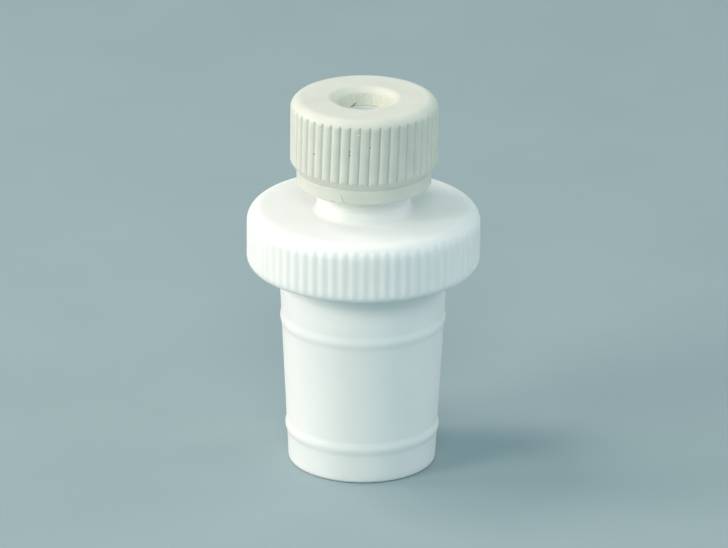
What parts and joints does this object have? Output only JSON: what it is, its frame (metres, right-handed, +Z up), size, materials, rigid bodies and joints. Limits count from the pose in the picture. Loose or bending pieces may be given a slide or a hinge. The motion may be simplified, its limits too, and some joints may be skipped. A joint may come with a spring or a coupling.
{
  "type": "screw-cap taper joint adapter",
  "caption": "Tapered PTFE joint cone with sealing beads and a ribbed flange, whose ribbed screw cap squeezes an O-ring onto a thin tube or thermometer.",
  "frame": {"origin": "centre of the cone's lower end face, which the part stands on", "axes": "+Z up the common axis of cone, neck and cap; +Y away from the viewer of the main view, +X to the viewer's right"},
  "size_m": [0.041, 0.041, 0.0676],
  "materials": {
    "ptfe": "satin white PTFE with fine turning marks",
    "cap_plastic": "cream glass-filled moulded plastic, matt",
    "seal_rubber": "dark smooth fluoroelastomer"
  },
  "bodies": {
    "gland_body": {"joint_body": "ptfe", "seat_ring": "ptfe", "o_ring": "seal_rubber"},
    "clamping_set": {"slip_washer": "ptfe", "clamping_ring": "ptfe"},
    "cap": {"screw_cap": "cap_plastic"}
  },
  "joints": [
    {"name": "cap_travel", "type": "slide", "parent": "gland_body", "child": "clamping_set", "axis": [0, 0, 1], "range_m": [0, 0.01201]},
    {"name": "cap_turn", "type": "hinge", "parent": "clamping_set", "child": "cap", "pos_m": [0, 0, 0.0648], "axis": [0, 0, 1], "range_deg": [0, 1440]}
  ],
  "couplings": [
    {"joint": "cap_travel", "follows": "cap_turn", "m_per_rad": 0.00047746}
  ]
}
